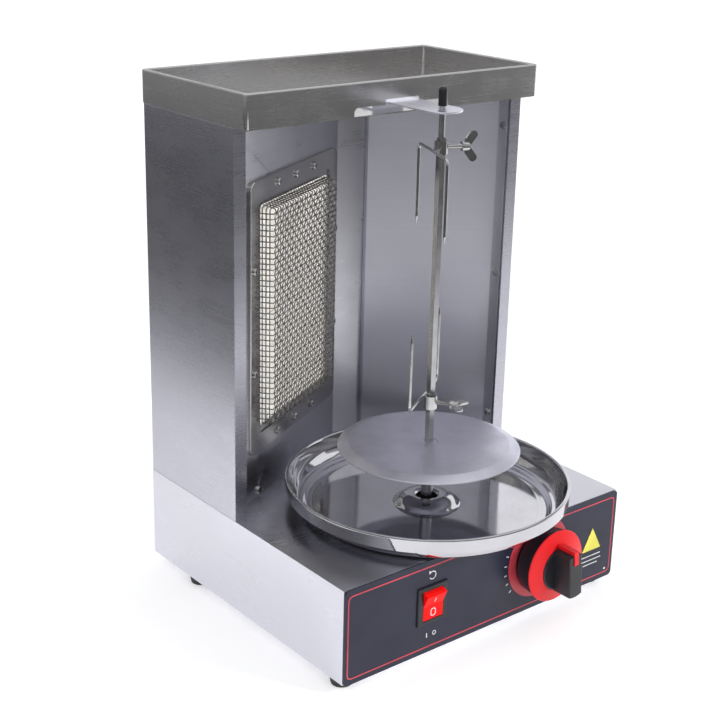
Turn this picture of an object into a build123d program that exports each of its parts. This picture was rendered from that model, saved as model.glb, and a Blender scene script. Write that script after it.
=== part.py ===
from build123d import *
import math
import os

# Table-top vertical rotisserie oven: a steel base box with a control fascia, an open-fronted
# housing with a gas burner in its slanted left wall, a tray on top, and a motor-driven spit
# that stands over a drip pan.
#
# Working frame: x = 0 on the middle plane (+x is the user's right), y = 0 on the front of the
# fascia (+y goes to the rear), z = 0 under the base box.  The saved frame has its origin on
# the surface that the feet stand on, in the middle of the whole object's outline.

# ---------------------------------------------------------------- driving dimensions, mm
WIDTH = 300.0
DEPTH = 272.0
BASE_H = 81.0
SHEET = 1.0
FOOT_H = 8.0
KNOB_REACH = 42.8
INLET_REACH = 20.0

HALF = WIDTH / 2
INNER = HALF - SHEET
HOUSING_Y = 143.4
PLATE_Z = 403.0
TRAY_TOP = 430.6
FRONT_Y = KNOB_REACH - (KNOB_REACH + DEPTH + INLET_REACH) / 2

# fascia, switch and valve
FASCIA_T = 1.5
FASCIA_CORNER = 4.0
SWITCH_X = -62.9
SWITCH_Z = 43.0
BEZEL_W = 30.3
BEZEL_H = 33.1
SWITCH_BODY_W = 27.0
SWITCH_BODY_H = 29.5
ROCKER_R = 12.6
ROCKER_W = 20.0
ROCKER_SWING = 24.0
VALVE_X = 56.0
VALVE_Z = 46.0
STEM_R = 4.0

# housing panels
FLANGE = 11.5
TRAY_FRONT = 126.0
TRAY_REAR = 273.2
TRAY_SIDE = 151.0
HEM_T = 3.0
HEM_H = 8.0
NOTCH_HALF = 49.0
NOTCH_TOP = 411.0
NOTCH_STEP_HALF = 18.0
NOTCH_STEP_TOP = 415.2

# burner wall: a vertical sheet turned 28 degrees from the rear wall
WALL_ANGLE = 28.0
WALL_ORIGIN = (-123.8, 163.5)
WALL_BEFORE = 27.9
WALL_AFTER = 172.3
WALL_END_X = 66.0
FRAME_W = 167.0
FRAME_LOW = 123.0
FRAME_HIGH = 354.5
FRAME_PROUD = 3.0
LEDGE = 16.4
MESH_LEFT = 20.0
MESH_RIGHT = 147.0
MESH_LOW = 145.5
MESH_HIGH = 332.0
MESH_PROUD = 13.0
MESH_PITCH = 4.6
MESH_WIRE = 0.9
MESH_TAPER = 2.5
CERAMIC_LEFT = 17.0
CERAMIC_RIGHT = 150.0
CERAMIC_LOW = 141.0
CERAMIC_HIGH = 336.5
CERAMIC_FACE = 0.5
CERAMIC_T = 13.0
PLENUM_DEPTH = 28.0
TUBE_X = -57.5
TUBE_Y = 215.7
TUBE_R = 12.0

# right reflector
REFLECTOR = ((59.5, 244.2), (59.5, 239.9), (147.9, 167.0), (147.9, 155.6))

# spit
SPIT_Y = 79.5
SHAFT_SIDE = 5.0
SHAFT_LOW = 73.0
SHAFT_ROUND_FROM = 391.0
SHAFT_TOP = 427.0
TONGUE_Z = 411.6
TONGUE_T = 1.5
TONGUE_HALF = 16.0
CAP_LOW = 415.5
CAP_HIGH = 430.4
DISC_R = 75.8
DISC_FLAT_R = 66.7
DISC_TOP = 136.5
DISC_T = 1.5
HUB_R = 5.0
COLLAR_R = 5.5
COLLAR_H = 11.0
COLLAR_BORE_R = 3.6
FORK_WIRE_R = 1.25

# drip pan
PAN_R = 119.0
PAN_RIM_Z = 106.0
PAN_SHEET = 0.8
PAN_HOLE_R = 9.0

# drive
SOCKET_TOP = 85.0
MOTOR_R = 29.0


# ---------------------------------------------------------------- helpers
def block(x0, x1, y0, y1, z0, z1):
    """A box between two corners."""
    centre = Pos((x0 + x1) / 2, (y0 + y1) / 2, (z0 + z1) / 2)
    return centre * Box(x1 - x0, y1 - y0, z1 - z0)


def rod(start, axis, radius, length):
    """A round bar from a point along an axis."""
    place = Plane(origin=start, z_dir=axis).location
    return place * Cylinder(radius, length, align=(Align.CENTER, Align.CENTER, Align.MIN))


def cone(start, axis, radius_0, radius_1, length):
    """A tapered bar from a point along an axis."""
    place = Plane(origin=start, z_dir=axis).location
    return place * Cone(radius_0, radius_1, length, align=(Align.CENTER, Align.CENTER, Align.MIN))


def turned(points):
    """A solid of revolution about z, from (radius, height) points."""
    outline = [(r, 0, z) for r, z in points]
    face = make_face(Polyline(*outline, close=True))
    return revolve(face, Axis.Z, 360)


def rounded_plate(x0, x1, y0, y1, radius, z0, z1):
    """A flat plate in the xy plane with round corners."""
    sketch = Pos((x0 + x1) / 2, (y0 + y1) / 2, z0) * RectangleRounded(x1 - x0, y1 - y0, radius)
    return extrude(sketch, z1 - z0, dir=(0, 0, 1))


def folded_sheet(points, z0, z1, thickness=SHEET):
    """A vertical sheet folded along a plan line; the thickness lies to the left of the line."""
    def normal(a, b):
        length = math.dist(a, b)
        return (-(b[1] - a[1]) / length, (b[0] - a[0]) / length)
    sides = [normal(a, b) for a, b in zip(points, points[1:])]
    back = []
    for i, p in enumerate(points):
        n0 = sides[max(i - 1, 0)]
        n1 = sides[min(i, len(sides) - 1)]
        share = thickness / (1 + n0[0] * n1[0] + n0[1] * n1[1])
        back.append((p[0] + (n0[0] + n1[0]) * share, p[1] + (n0[1] + n1[1]) * share))
    outline = [(x, y, z0) for x, y in list(points) + back[::-1]]
    return extrude(make_face(Polyline(*outline, close=True)), z1 - z0, dir=(0, 0, 1))


def pan_screw(start, axis, length, head_r=3.6, head_h=2.2, shank_r=1.5):
    """A pan-head screw: start is the seat under the head, axis points along the shank."""
    out = tuple(-a for a in axis)
    dome = rod(start, out, head_r, head_h)
    dome = fillet(dome.edges().sort_by_distance(tuple(s + o * head_h for s, o in zip(start, out)))[0], 1.2)
    shank = rod(start, axis, shank_r, length)
    tip = tuple(s + o * head_h for s, o in zip(start, out))
    side = Plane(origin=tip, z_dir=axis).location
    slot = side * (Box(head_r * 1.1, 0.7, 1.6) + Box(0.7, head_r * 1.1, 1.6))
    return dome + shank - slot


def save(name, *solids):
    """Write one node, moved into the saved frame."""
    shape = solids[0] if len(solids) == 1 else Compound(children=list(solids))
    export_step(Pos(0, FRONT_Y, FOOT_H) * shape, f"parts/{name}.step")


WALL_DIR = (math.cos(math.radians(WALL_ANGLE)), math.sin(math.radians(WALL_ANGLE)), 0)
WALL_OUT = (WALL_DIR[1], -WALL_DIR[0], 0)
WALL_LOC = Plane(origin=(*WALL_ORIGIN, 0), x_dir=WALL_DIR, z_dir=WALL_OUT).location


def on_wall(along):
    """Plan point on the front face of the slanted wall."""
    return tuple(o + d * along for o, d in zip(WALL_ORIGIN, WALL_DIR))


# ---------------------------------------------------------------- base
SLOT_ROWS = (70.0, 110.0, 150.0, 190.0)
FOOT_PLACES = [(x, y) for x in (-138.0, 138.0) for y in (17.0, 215.0)]
FLOOR_SCREWS = [(x, y) for x in (-143.5, 143.5) for y in (45.0, 130.0, 255.0)]
BURNER_HOLE_R = 16.0
DRIVE_HOLE_R = 11.0
LIP = 12.0
INLET_X = 110.0
GLAND_X = -105.0
SERVICE_Z = 46.0
MOTOR_SCREWS = [(-35.5, SPIT_Y), (35.5, SPIT_Y)]


def front_openings():
    """The switch and stem openings that pass through the fascia and the front sheet."""
    half_w = SWITCH_BODY_W / 2 + 0.3
    half_h = SWITCH_BODY_H / 2 + 0.3
    switch = block(SWITCH_X - half_w, SWITCH_X + half_w, -1, 4, SWITCH_Z - half_h, SWITCH_Z + half_h)
    stem = rod((VALVE_X, -1, VALVE_Z), (0, 1, 0), STEM_R + 2, 5)
    return switch + stem


def base_shell():
    """Top, sides, front and rear of the base box in one folded sheet, with a lip round the bottom."""
    shell = block(-HALF, HALF, FASCIA_T, DEPTH, SHEET, BASE_H)
    shell -= block(-INNER, INNER, FASCIA_T + SHEET, DEPTH - SHEET, 2 * SHEET, BASE_H - SHEET)
    inside_lip = block(-INNER + LIP, INNER - LIP, FASCIA_T + LIP, DEPTH - LIP, 0, 3)
    shell -= inside_lip
    shell -= front_openings()
    shell -= rod((0, SPIT_Y, BASE_H - 3), (0, 0, 1), DRIVE_HOLE_R, 6)
    shell -= rod((TUBE_X, TUBE_Y, BASE_H - 3), (0, 0, 1), BURNER_HOLE_R, 6)
    shell -= rod((INLET_X, DEPTH - 3, SERVICE_Z), (0, 1, 0), 6.2, 6)
    shell -= rod((GLAND_X, DEPTH - 3, SERVICE_Z), (0, 1, 0), 7.7, 6)
    for x, y in FLOOR_SCREWS:
        shell -= rod((x, y, 0), (0, 0, 1), 1.6, 3)
    for x, y in FOOT_PLACES:
        shell -= rod((x, y, 0), (0, 0, 1), 2.1, 3)
    return shell


def base_floor():
    """Bottom plate with ventilation slots."""
    plate = rounded_plate(-INNER, INNER, FASCIA_T + 0.5, DEPTH - 0.5, 3, 0, SHEET)
    for y in SLOT_ROWS:
        for i in range(-4, 5):
            slot = Pos(i * 24.0, y, 0) * SlotOverall(18, 4, rotation=90)
            plate -= extrude(slot, 3, dir=(0, 0, 1))
    for x, y in FOOT_PLACES:
        plate -= rod((x, y, -1), (0, 0, 1), 2.1, 3)
    for x, y in FLOOR_SCREWS:
        plate -= rod((x, y, -1), (0, 0, 1), 1.6, 3)
    return plate


def foot(x, y):
    """One rubber foot with a recessed screw hole."""
    body = cone((x, y, 0), (0, 0, -1), 10.0, 8.5, FOOT_H)
    body = fillet(body.edges().sort_by(Axis.Z)[0], 1.0)
    body -= rod((x, y, -FOOT_H - 1), (0, 0, 1), 4.6, 5)
    body -= rod((x, y, -FOOT_H), (0, 0, 1), 2.1, FOOT_H + 1)
    return body


def fascia():
    """Painted control plate that covers the front of the base box."""
    sketch = Plane.XZ.offset(-FASCIA_T) * Pos(0, BASE_H / 2) * RectangleRounded(WIDTH, BASE_H, FASCIA_CORNER)
    plate = extrude(sketch, FASCIA_T, dir=(0, -1, 0))
    return plate - front_openings()


# ---------------------------------------------------------------- switch
def switch_bezel():
    """Rocker switch body: front bezel on the fascia and a hollow box behind it."""
    front = block(SWITCH_X - BEZEL_W / 2, SWITCH_X + BEZEL_W / 2, -2, 0,
                  SWITCH_Z - BEZEL_H / 2, SWITCH_Z + BEZEL_H / 2)
    front = chamfer(front.faces().sort_by(Axis.Y)[0].edges(), 0.8)
    body = block(SWITCH_X - SWITCH_BODY_W / 2, SWITCH_X + SWITCH_BODY_W / 2, -0.5, 20,
                 SWITCH_Z - SWITCH_BODY_H / 2, SWITCH_Z + SWITCH_BODY_H / 2)
    half_w = ROCKER_W / 2 + 0.4
    half_h = ROCKER_R + 0.4
    well = block(SWITCH_X - half_w, SWITCH_X + half_w, -3, 16, SWITCH_Z - half_h, SWITCH_Z + half_h)
    pivot = rod((SWITCH_X - 12, 1, SWITCH_Z), (1, 0, 0), 1.55, 24)
    return front + body - well - pivot


def rocker():
    """Rocker key, modelled in the OFF state with its lower half pressed in."""
    half_w = ROCKER_W / 2
    drum = rod((SWITCH_X - half_w, 1, SWITCH_Z), (1, 0, 0), ROCKER_R, ROCKER_W)
    lower = block(SWITCH_X - 15, SWITCH_X + 15, -20, -2.2, SWITCH_Z - 20, SWITCH_Z)
    upper = block(-15, 15, -20, 0, 0, 30)
    upper = Pos(SWITCH_X, -2.2, SWITCH_Z) * Rot(ROCKER_SWING, 0, 0) * upper
    back = block(SWITCH_X - 15, SWITCH_X + 15, 7, 20, SWITCH_Z - 20, SWITCH_Z + 20)
    pins = rod((SWITCH_X - 11.7, 1, SWITCH_Z), (1, 0, 0), 1.5, 23.4)
    return drum - lower - upper - back + pins


def terminals():
    """Blade terminals at the back of the switch."""
    return [block(SWITCH_X + x - 3.1, SWITCH_X + x + 3.1, 20, 30, SWITCH_Z + z - 0.4, SWITCH_Z + z + 0.4)
            for x in (-6.0, 6.0) for z in (-8.0, 8.0)]


# ---------------------------------------------------------------- gas valve and knob
KNOB_TILT = 5.0
KNOB_FACE = 25.0
SKIRT_BACK = 3.5
SKIRT_FRONT = 16.5
RING_SEAT = 18.5
RING_BORE_R = 19.0
BAR_FRONT = 42.0
BAR_HALF_W = 7.0
BAR_END_R = 19.6
POINTER_HALF_W = 2.4


def knob_frame(shape):
    """Stand a part that is turned about z on the valve axis, so that its z points to the user."""
    place = Plane(origin=(VALVE_X, 0, VALVE_Z), x_dir=(1, 0, 0), z_dir=(0, -1, 0)).location
    return place * Rot(0, 0, KNOB_TILT) * shape


def knob_body():
    """Black knob: hollow skirt, hub for the stem, centre disc and bar grip."""
    bore = STEM_R + 0.05
    profile = [(bore, 6), (8, 6), (8, SKIRT_FRONT), (26, SKIRT_FRONT), (26, SKIRT_BACK), (28.4, SKIRT_BACK),
               (30, SKIRT_FRONT), (30, RING_SEAT), (RING_BORE_R, RING_SEAT), (RING_BORE_R, KNOB_FACE - 0.8),
               (RING_BORE_R - 0.8, KNOB_FACE), (0, KNOB_FACE), (0, 19), (bore, 19)]
    knob = turned(profile)
    bar = block(-BAR_HALF_W, BAR_HALF_W, -BAR_END_R, BAR_END_R, KNOB_FACE - 1, BAR_FRONT)
    bar &= rod((0, 0, KNOB_FACE - 1), (0, 0, 1), BAR_END_R, BAR_FRONT)
    bar = fillet(bar.faces().sort_by(Axis.Z)[-1].edges(), 1.0)
    return knob_frame(knob + bar)


def knob_ring():
    """Red conical ring round the grip."""
    bore = RING_BORE_R + 0.05
    seat = RING_SEAT + 0.05
    return knob_frame(turned([(bore, seat), (31, seat), (31.2, 19.1), (30.6, 19.9), (19.6, 23.9), (bore, 23.7)]))


def knob_pointer():
    """Red pointer that runs over the top of the grip and down its front."""
    outside = BAR_END_R + 3.2
    top = block(-POINTER_HALF_W, POINTER_HALF_W, BAR_END_R - 1, outside, KNOB_FACE, KNOB_REACH)
    top -= rod((0, 0, KNOB_FACE), (0, 0, 1), BAR_END_R, BAR_FRONT - KNOB_FACE)
    down = block(-POINTER_HALF_W, POINTER_HALF_W, BAR_END_R - 9, outside, BAR_FRONT, KNOB_REACH)
    return knob_frame(top + down)


def valve_body():
    """Brass gas valve behind the fascia, with a bore for the stem."""
    body = block(VALVE_X - 12, VALVE_X + 12, 8, 50, VALVE_Z - 12, VALVE_Z + 12)
    body = chamfer(body.edges().filter_by(Axis.Y), 4)
    neck = rod((VALVE_X, FASCIA_T + SHEET, VALVE_Z), (0, 1, 0), 8, 6)
    side = rod((VALVE_X + 10, 35, VALVE_Z), (1, 0, 0), 7, 8)
    rear = rod((VALVE_X, 48, VALVE_Z), (0, 1, 0), 7, 8)
    body = body + neck + side + rear
    body -= rod((VALVE_X, 0, VALVE_Z), (0, 1, 0), STEM_R + 0.05, 29)
    body -= rod((VALVE_X + 14, 35, VALVE_Z), (1, 0, 0), 4.1, 6)
    body -= rod((VALVE_X, 50, VALVE_Z), (0, 1, 0), 4.1, 8)
    return body


def valve_stem():
    """Round stem that carries the knob and slides in the valve."""
    return rod((VALVE_X, -17.5, VALVE_Z), (0, 1, 0), STEM_R, 29.5)


def valve_spring():
    """Return spring behind the stem, drawn at its pushed-in length."""
    pitch, turns, radius = 2.4, 5, 2.9
    path = Helix(pitch, pitch * turns, radius)
    wire = sweep(Plane(path @ 0, z_dir=path % 0) * Circle(0.4), path)
    return Plane(origin=(VALVE_X, 16.0, VALVE_Z), z_dir=(0, 1, 0)).location * wire


def pipe(points, radius_out, radius_in, bend):
    """A bent tube along a plan route."""
    path = FilletPolyline(*points, radius=bend)
    ring = Plane(path @ 0, z_dir=path % 0) * (Circle(radius_out) - Circle(radius_in))
    return sweep(ring, path)


def gas_jet():
    """Brass injector on its elbow block, pointing up into the mixing tube."""
    body = block(TUBE_X - 7, TUBE_X + 7, TUBE_Y - 7, TUBE_Y + 7, VALVE_Z - 7, VALVE_Z + 7)
    nozzle = cone((TUBE_X, TUBE_Y, VALVE_Z + 7), (0, 0, 1), 5, 2.5, 6)
    bore = rod((TUBE_X, TUBE_Y, VALVE_Z), (0, 0, 1), 1.0, 20)
    side = rod((TUBE_X, TUBE_Y - 8, VALVE_Z), (0, 1, 0), 4.1, 6)
    return body + nozzle - bore - side


def jet_bracket():
    """Folded bracket that carries the injector over the floor."""
    foot_plate = block(TUBE_X - 12, TUBE_X + 12, TUBE_Y - 10, TUBE_Y + 24, SHEET, 2.5)
    post = block(TUBE_X - 12, TUBE_X + 12, TUBE_Y + 7, TUBE_Y + 8.5, SHEET, VALVE_Z + 9)
    return foot_plate + post


def gas_inlet():
    """Hose nozzle on the rear wall."""
    y = DEPTH
    body = rod((INLET_X, y - 10, SERVICE_Z), (0, 1, 0), 6.0, 12)
    flange_place = Plane(origin=(INLET_X, y, SERVICE_Z), z_dir=(0, 1, 0)).location
    flange = flange_place * extrude(RegularPolygon(9, 6), 4)
    inner_nut = Plane(origin=(INLET_X, y - 5, SERVICE_Z), z_dir=(0, 1, 0)).location
    inner_nut = inner_nut * extrude(RegularPolygon(9, 6), 4)
    barb = rod((INLET_X, y + 4, SERVICE_Z), (0, 1, 0), 3.8, 16)
    body = body + flange + inner_nut + barb
    for i in range(3):
        body += cone((INLET_X, y + 7 + 4 * i, SERVICE_Z), (0, 1, 0), 4.8, 3.9, 4)
    body -= rod((INLET_X, y - 12, SERVICE_Z), (0, 1, 0), 2.5, 40)
    return body - rod((INLET_X, y - 11, SERVICE_Z), (0, 1, 0), 4.1, 5)


def power_gland():
    """Cable gland on the rear wall; the mains lead itself is not part of the model."""
    y = DEPTH
    body = rod((GLAND_X, y - 10, SERVICE_Z), (0, 1, 0), 7.5, 12)
    collar_place = Plane(origin=(GLAND_X, y, SERVICE_Z), z_dir=(0, 1, 0)).location
    collar = collar_place * extrude(RegularPolygon(10, 6), 5)
    nut_place = Plane(origin=(GLAND_X, y - 5, SERVICE_Z), z_dir=(0, 1, 0)).location
    nut = nut_place * extrude(RegularPolygon(10.5, 6), 4)
    cap = cone((GLAND_X, y + 5, SERVICE_Z), (0, 1, 0), 8.5, 6.5, 12)
    return body + collar + nut + cap - rod((GLAND_X, y - 12, SERVICE_Z), (0, 1, 0), 3.6, 40)


# ---------------------------------------------------------------- drive
MOTOR_TOP = 62.0
MOTOR_LOW = 24.0


def motor_case():
    """Geared synchronous motor: round can with a gearbox disc on top."""
    can = rod((0, SPIT_Y, MOTOR_LOW), (0, 0, 1), MOTOR_R - 1.5, 22)
    gears = rod((0, SPIT_Y, MOTOR_LOW + 22), (0, 0, 1), MOTOR_R, MOTOR_TOP - MOTOR_LOW - 22)
    boss = rod((0, SPIT_Y, MOTOR_TOP), (0, 0, 1), 6, 3)
    ears = block(-40, 40, SPIT_Y - 6, SPIT_Y + 6, MOTOR_TOP - 1.5, MOTOR_TOP)
    case = can + gears + boss + ears
    for x, y in MOTOR_SCREWS:
        case -= rod((x, y, MOTOR_TOP - 3), (0, 0, 1), 1.6, 6)
    return case - rod((0, SPIT_Y, MOTOR_TOP - 8), (0, 0, 1), 3.56, 14)


def motor_bracket():
    """Hat-shaped bracket, spot-welded under the base top, that the motor hangs from."""
    top = BASE_H - SHEET
    seat = block(-44, 44, SPIT_Y - 24, SPIT_Y + 24, MOTOR_TOP, MOTOR_TOP + 1.5)
    seat -= rod((0, SPIT_Y, MOTOR_TOP - 1), (0, 0, 1), 12, 4)
    parts = [seat]
    for side in (-1, 1):
        x0, x1 = sorted((side * 42.5, side * 44))
        parts.append(block(x0, x1, SPIT_Y - 24, SPIT_Y + 24, MOTOR_TOP, top))
        x0, x1 = sorted((side * 28, side * 44))
        parts.append(block(x0, x1, SPIT_Y - 24, SPIT_Y + 24, top - 1.5, top))
    bracket = parts[0] + parts[1] + parts[2] + parts[3] + parts[4]
    for x, y in MOTOR_SCREWS:
        bracket -= rod((x, y, MOTOR_TOP - 1), (0, 0, 1), 1.6, 4)
    return bracket


def motor_shaft():
    """Output shaft of the motor."""
    return rod((0, SPIT_Y, MOTOR_TOP - 7), (0, 0, 1), 3.5, 16)


def drive_socket():
    """Coupling on the motor shaft with a square socket for the spit."""
    body = rod((0, SPIT_Y, 65.5), (0, 0, 1), 9, SOCKET_TOP - 65.5)
    body = fillet(body.edges().sort_by(Axis.Z)[-1], 1.0)
    body -= rod((0, SPIT_Y, 60), (0, 0, 1), 3.5, 11)
    hole = SHAFT_SIDE / 2 + 0.1
    return body - block(-hole, hole, SPIT_Y - hole, SPIT_Y + hole, SHAFT_LOW - 1, SOCKET_TOP + 1)


# ---------------------------------------------------------------- spit
def spit_shaft():
    """Square bar, turned round at the top where it passes the support tongue."""
    half = SHAFT_SIDE / 2
    bar = block(-half, half, SPIT_Y - half, SPIT_Y + half, SHAFT_LOW, SHAFT_ROUND_FROM)
    return bar + rod((0, SPIT_Y, SHAFT_ROUND_FROM - 2), (0, 0, 1), half, SHAFT_TOP - SHAFT_ROUND_FROM + 2)


def spit_cap():
    """Push-on cap over the upper end of the spit."""
    cap = rod((0, SPIT_Y, CAP_LOW), (0, 0, 1), 3.5, CAP_HIGH - CAP_LOW)
    cap = fillet(cap.edges().sort_by(Axis.Z)[-1], 2.8)
    return cap - rod((0, SPIT_Y, CAP_LOW - 1), (0, 0, 1), SHAFT_SIDE / 2, SHAFT_TOP - CAP_LOW + 1)


def meat_disc():
    """Thin round plate with a bevelled edge and a square hole."""
    edge = DISC_TOP - 3.5
    disc = turned([(0, DISC_TOP), (DISC_FLAT_R, DISC_TOP), (DISC_R, edge), (DISC_R, edge - DISC_T * 0.8),
                   (DISC_FLAT_R, DISC_TOP - DISC_T), (0, DISC_TOP - DISC_T)])
    hole = SHAFT_SIDE / 2
    return Pos(0, SPIT_Y, 0) * disc - block(-hole, hole, SPIT_Y - hole, SPIT_Y + hole, 120, 140)


def spit_hub():
    """Sleeve under the disc that stands on the drive socket."""
    hub = turned([(0, SOCKET_TOP + 0.3), (HUB_R, SOCKET_TOP + 0.3), (HUB_R, DISC_TOP - DISC_T - 2.5),
                  (9, DISC_TOP - DISC_T - 2.5), (9, DISC_TOP - DISC_T), (0, DISC_TOP - DISC_T)])
    hole = SHAFT_SIDE / 2
    return Pos(0, SPIT_Y, 0) * hub - block(-hole, hole, SPIT_Y - hole, SPIT_Y + hole, 80, 140)


# fork name: angle of the cross wire, height of the wire, tip height, half span, collar centre height
FORKS = {
    "upper": (67.0, 380.4, 314.7, 34.0, 383.5),
    "lower": (32.4, 176.8, 241.0, 40.0, 172.0),
}
FORK_BEND = 4.5
FORK_POINT = 6.0


def fork(angle, wire_z, tip_z, half_span, collar_z):
    """Two prongs of one bent wire, welded to the side of a collar."""
    side = COLLAR_R + FORK_WIRE_R - 0.5
    reach = abs(tip_z - wire_z) - FORK_POINT
    way = 1 if tip_z > wire_z else -1
    route = [(-half_span, 0, way * reach), (-half_span, 0, 0), (half_span, 0, 0), (half_span, 0, way * reach)]
    path = FilletPolyline(*route, radius=FORK_BEND)
    wire = sweep(Plane(path @ 0, z_dir=path % 0) * Circle(FORK_WIRE_R), path)
    for x in (-half_span, half_span):
        wire += cone((x, 0, way * reach), (0, 0, way), FORK_WIRE_R, 0.25, FORK_POINT)
    wire = Pos(0, side, wire_z) * wire
    collar = rod((0, 0, collar_z - COLLAR_H / 2), (0, 0, 1), COLLAR_R, COLLAR_H)
    body = collar + wire
    body -= rod((0, 0, collar_z - COLLAR_H), (0, 0, 1), COLLAR_BORE_R, 2 * COLLAR_H)
    body -= rod((0, 0, collar_z), (0, -1, 0), 2.0, 12)
    return Pos(0, SPIT_Y, 0) * Rot(0, 0, angle) * body


def wing_screw(angle, collar_z, flat):
    """Wing screw through the collar, on the side away from the wire."""
    shank = rod((0, 0, 0), (1, 0, 0), 1.95, 16)
    shank = Pos(3.9, 0, 0) * shank
    hub = cone((17, 0, 0), (1, 0, 0), 4.0, 3.2, 6)
    screw = shank + hub
    for side in (-1, 1):
        wing = Plane.XZ * SlotOverall(12.5, 6.5)
        wing = extrude(wing, 1.0, both=True)
        wing = Pos(24.5, 0, side * 6.6) * Rot(0, -side * 52, 0) * wing
        screw += wing
    turn = 90 if flat else 0
    return Pos(0, SPIT_Y, collar_z) * Rot(0, 0, angle - 90) * Rot(turn, 0, 0) * screw


# ---------------------------------------------------------------- drip pan
def drip_pan():
    """Round drip pan: flat floor, raised centre with a hole, upright wall and turned-down rim."""
    floor_z = BASE_H + PAN_SHEET / 2
    line = [(PAN_HOLE_R, 88.4), (12.0, 89.0), (17.5, 87.8), (24.0, 83.4), (29.5, floor_z), (96.0, floor_z),
            (101.0, floor_z + 0.9), (104.5, floor_z + 3.4), (107.5, floor_z + 4.4), (110.5, floor_z + 6.5),
            (113.0, 92.0), (115.8, PAN_RIM_Z - 2.0), (116.6, PAN_RIM_Z - 0.6), (117.8, PAN_RIM_Z),
            (PAN_R - 0.3, PAN_RIM_Z - 1.2), (PAN_R, PAN_RIM_Z - 3), (PAN_R - 0.6, PAN_RIM_Z - 11.5)]
    half = PAN_SHEET / 2
    upper, lower = [], []
    for i, (r, z) in enumerate(line):
        r0, z0 = line[max(i - 1, 0)]
        r1, z1 = line[min(i + 1, len(line) - 1)]
        length = math.hypot(r1 - r0, z1 - z0)
        nr, nz = -(z1 - z0) / length * half, (r1 - r0) / length * half
        upper.append((r + nr, z + nz))
        lower.append((r - nr, z - nz))
    return Pos(0, SPIT_Y, 0) * turned(upper + lower[::-1])


# ---------------------------------------------------------------- housing
def side_panel(side, flange_from):
    """One outer side of the housing, with flanges at the front, rear, top and bottom."""
    def strip(x0, x1, y0, y1, z0, z1):
        x0, x1 = sorted((side * x0, side * x1))
        return block(x0, x1, y0, y1, z0, z1)
    panel = strip(HALF, INNER, HOUSING_Y, DEPTH - SHEET, BASE_H, PLATE_Z)
    panel += strip(HALF, HALF - FLANGE, HOUSING_Y, HOUSING_Y + SHEET, BASE_H, PLATE_Z)
    panel += strip(HALF, HALF - FLANGE, DEPTH - 2 * SHEET, DEPTH - SHEET, BASE_H, PLATE_Z)
    panel += strip(HALF, HALF - FLANGE, flange_from, DEPTH - SHEET, BASE_H, BASE_H + SHEET)
    panel += strip(HALF, HALF - FLANGE, flange_from, DEPTH - SHEET, PLATE_Z - SHEET, PLATE_Z)
    for z in COVER_SCREW_Z:
        panel -= rod((side * COVER_SCREW_X, DEPTH - 4, z), (0, 1, 0), 1.6, 6)
    if side > 0:
        for z in REFLECTOR_SCREW_Z:
            panel -= rod((INNER - 2, REFLECTOR_SCREW_Y, z), (1, 0, 0), 1.6, 2.7)
    return panel


COVER_SCREW_X = 143.5
COVER_SCREW_Z = (95.0, 242.0, 390.0)
REFLECTOR_SCREW_Y = 160.5
REFLECTOR_SCREW_Z = (101.0, 238.4, 372.9)


def back_cover():
    """Removable rear sheet with rows of ventilation slots."""
    cover = block(-HALF + 0.5, HALF - 0.5, DEPTH - SHEET, DEPTH, BASE_H, PLATE_Z)
    for z in (120.0, 140.0, 160.0, 330.0, 350.0, 370.0):
        for i in range(-3, 4):
            slot = Plane.XZ.offset(-DEPTH - 2) * Pos(i * 34.0, z) * SlotOverall(26, 5)
            cover -= extrude(slot, 6, dir=(0, -1, 0))
    for side in (-1, 1):
        for z in COVER_SCREW_Z:
            cover -= rod((side * COVER_SCREW_X, DEPTH - 4, z), (0, 1, 0), 1.6, 6)
    return cover


def burner_screw_places():
    """Screw places on the burner frame, as (along the wall, height)."""
    places = [(t, z) for t in (49.0, 83.0, 117.0) for z in (FRAME_LOW + 8, FRAME_HIGH - 8)]
    places += [(t, z) for t in (6.0, FRAME_W - 6.0) for z in (195.0, 282.0)]
    return places


WALL_FOOT_SCREW = (18.5, 87.0)


def burner_wall():
    """Folded wall: the slanted part that carries the burner, and the part parallel to the rear."""
    fold = on_wall(WALL_AFTER)
    route = [on_wall(-WALL_BEFORE), fold, (WALL_END_X, fold[1])]
    wall = folded_sheet(route, BASE_H, PLATE_Z - 0.1)
    window = rounded_plate(11.5, FRAME_W - 11.5, FRAME_LOW + 11.5, FRAME_HIGH - 11.5, 6, -5, 5)
    wall -= WALL_LOC * window
    for t, z in burner_screw_places():
        wall -= WALL_LOC * rod((t, z, -5), (0, 0, 1), 1.6, 10)
    return wall - WALL_LOC * rod((*WALL_FOOT_SCREW, -5), (0, 0, 1), 1.6, 10)


def right_reflector():
    """Slanted sheet on the right, with a flange along the side panel and a narrow one at the burner wall."""
    sheet = folded_sheet(list(REFLECTOR), BASE_H, PLATE_Z - 0.1)
    for z in REFLECTOR_SCREW_Z:
        sheet -= rod((INNER - 2, REFLECTOR_SCREW_Y, z), (1, 0, 0), 1.6, 4)
    return sheet


def top_plate():
    """Roof of the housing and floor of the tray."""
    plate = block(-HALF + 0.2, HALF - 0.2, TRAY_FRONT + 1.2, DEPTH, PLATE_Z, PLATE_Z + SHEET)
    for x in (-9.0, 9.0):
        plate -= rod((x, 160, PLATE_Z - 1), (0, 0, 1), 1.6, 3)
    return plate


def notch(depth_from, depth_to):
    """Stepped notch in the front of the tray, with round corners."""
    low = block(-NOTCH_HALF, NOTCH_HALF, depth_from, depth_to, PLATE_Z - 5, NOTCH_TOP)
    low = fillet(low.edges().filter_by(Axis.Y), 4)
    high = block(-NOTCH_STEP_HALF, NOTCH_STEP_HALF, depth_from, depth_to, PLATE_Z, NOTCH_STEP_TOP)
    return low + fillet(high.edges().filter_by(Axis.Y), 2)


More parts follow.
